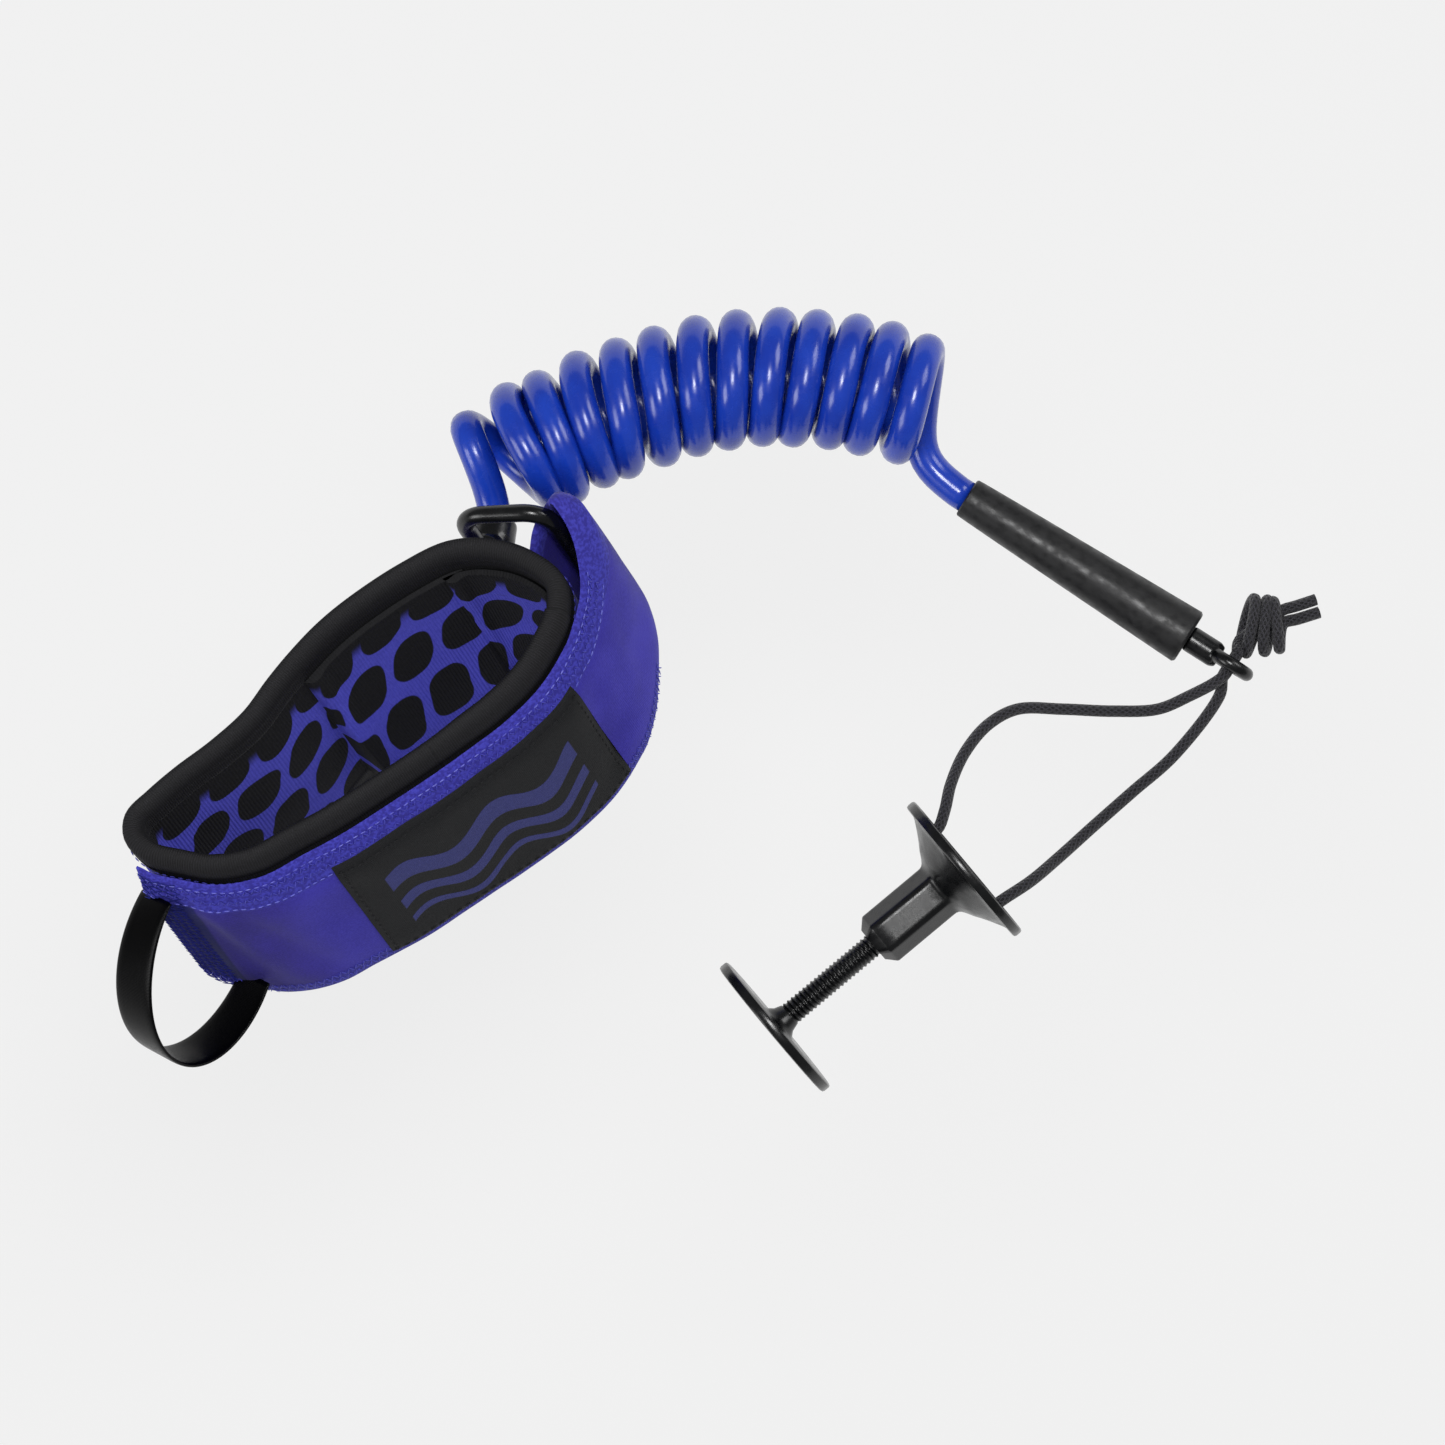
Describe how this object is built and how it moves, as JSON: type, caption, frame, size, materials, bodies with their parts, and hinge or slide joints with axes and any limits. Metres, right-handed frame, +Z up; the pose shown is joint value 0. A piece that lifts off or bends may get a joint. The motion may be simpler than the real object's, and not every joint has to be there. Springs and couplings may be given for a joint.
{
  "type": "coiled arm leash for a bodyboard",
  "caption": "Arm leash for a bodyboard: padded cuff with a hook-and-loop strap, coiled cord, swivel sleeve, board cord and a two-part screw plug.",
  "frame": {"origin": "on the table that the leash lies on, below the middle of the box around everything but the cords", "axes": "+Z up from the table; +X from the cuff towards the board end; +Y towards the coil"},
  "size_m": [0.3012, 0.1963, 0.0526],
  "materials": {
    "purple_nylon": "napped nylon face on foam rubber",
    "printed_lining": "black jersey with a printed net",
    "black_binding": "ribbed binding tape",
    "black_hook_and_loop": "hook and loop pile",
    "black_patch": "woven patch",
    "black_ribbon": "close-woven satin ribbon",
    "blue_stitching": "overlocked thread",
    "black_plastic": "moulded, glossy",
    "satin_black_sleeve": "satin",
    "blue_urethane": "glossy urethane",
    "black_nylon_cord": "braided sheath",
    "steel": "turned",
    "aluminium": "crimped"
  },
  "bodies": {
    "cuff": {"cuff_core": "purple_nylon", "cuff_lining": "printed_lining", "top_binding": "black_binding", "bottom_binding": "black_binding", "loop_panel": "black_hook_and_loop", "ring_webbing": "purple_nylon"},
    "strap": {"closing_strap": "purple_nylon", "label_patch": "black_patch", "hook_panel": "black_hook_and_loop"},
    "tab": {"pull_tab": "black_ribbon"},
    "ring": {"cuff_ring": "black_plastic"},
    "coil": {"ring_clasp": "black_plastic", "coil_cord": "blue_urethane"},
    "sleeve": {"sleeve": "satin_black_sleeve", "coil_tail": "blue_urethane", "cord_ferrule": "aluminium", "swivel_barrel": "black_plastic", "swivel_washer_inner": "steel", "swivel_washer_outer": "steel", "swivel_bush": "black_plastic"},
    "swivel": {"swivel_pin": "steel", "swivel_eye": "black_plastic", "board_cord_first": "black_nylon_cord", "board_cord_second": "black_nylon_cord", "board_knot": "black_nylon_cord", "cord_tail_first": "black_nylon_cord", "cord_tail_second": "black_nylon_cord"},
    "cap": {"plug_cap": "black_plastic"},
    "screw": {"plug_screw": "black_plastic"}
  },
  "joints": [
    {"name": "strap_peel", "type": "hinge", "parent": "cuff", "child": "strap", "pos_m": [-0.03461, 0.06762, 0.02], "axis": [0, 0, 1], "range_deg": [0, 45]},
    {"name": "tab_flex", "type": "hinge", "parent": "strap", "child": "tab", "pos_m": [-0.12101, -0.04055, 0.02451], "axis": [-0.5138, 0.453, 0.7286], "range_deg": [0, 25], "stiffness_Nm_per_rad": 0.005},
    {"name": "ring_pivot", "type": "hinge", "parent": "cuff", "child": "ring", "pos_m": [-0.02693, 0.05631, 0.03101], "axis": [0.3063, -0.4513, -0.8382], "range_deg": [0, 20]},
    {"name": "coil_swing", "type": "hinge", "parent": "ring", "child": "coil", "pos_m": [-0.04906, 0.05579, 0.02401], "axis": [-0.3063, 0.4513, 0.8382], "range_deg": [-5, 45]},
    {"name": "coil_stretch", "type": "slide", "parent": "coil", "child": "sleeve", "axis": [1, 0, 0], "range_m": [0, 0.4], "stiffness_N_per_m": 20, "deforming": ["coil_cord"]},
    {"name": "swivel_spin", "type": "hinge", "parent": "sleeve", "child": "swivel", "pos_m": [0.12609, 0.03677, 0.00726], "axis": [0.8437, -0.5358, 0.031], "continuous": true},
    {"name": "plug_tilt", "type": "hinge", "parent": "swivel", "child": "cap", "pos_m": [0.07039, -0.02025, 0.02123], "axis": [0.6408, -0.7677, 0], "range_deg": [-40, 40], "deforming": ["board_cord_first", "board_cord_second"]},
    {"name": "plug_travel", "type": "slide", "parent": "cap", "child": "screw", "axis": [0.7676, 0.6407, 0.0151], "range_m": [-0.006, 0.018]}
  ]
}
